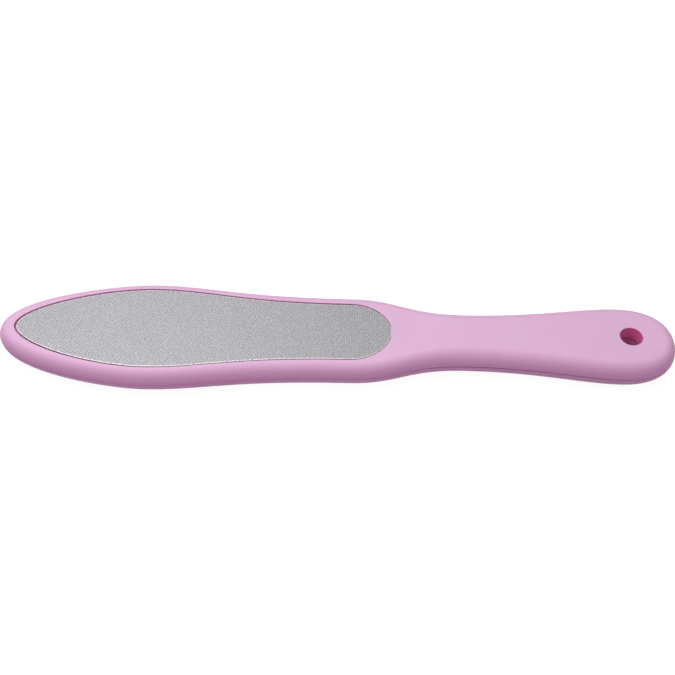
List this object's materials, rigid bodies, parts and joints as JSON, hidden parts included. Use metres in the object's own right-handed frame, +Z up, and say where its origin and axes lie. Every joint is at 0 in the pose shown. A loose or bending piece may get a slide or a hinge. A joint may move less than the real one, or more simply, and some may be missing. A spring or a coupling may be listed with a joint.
{
  "type": "foot file",
  "caption": "Paddle-shaped foot file: a two-part moulded handle with a hanging hole and a toothed metal plate set into each side of the head.",
  "frame": {"origin": "middle of the length and width, at the height of the underside of the handle, which is thicker than the head with its teeth", "axes": "+X runs from the head to the hanging hole, +Z up through the thickness, and +Y across to the far side of the picture"},
  "size_m": [0.265, 0.049, 0.0126],
  "materials": {
    "handle_plastic": "satin soft-touch coat",
    "file_metal": "satin",
    "bonding_tape": "matte"
  },
  "bodies": {
    "root": {"handle_upper_half": "handle_plastic", "handle_lower_half": "handle_plastic", "fine_file_plate": "file_metal", "coarse_file_plate": "file_metal", "fine_plate_tape": "bonding_tape", "coarse_plate_tape": "bonding_tape"}
  },
  "joints": []
}
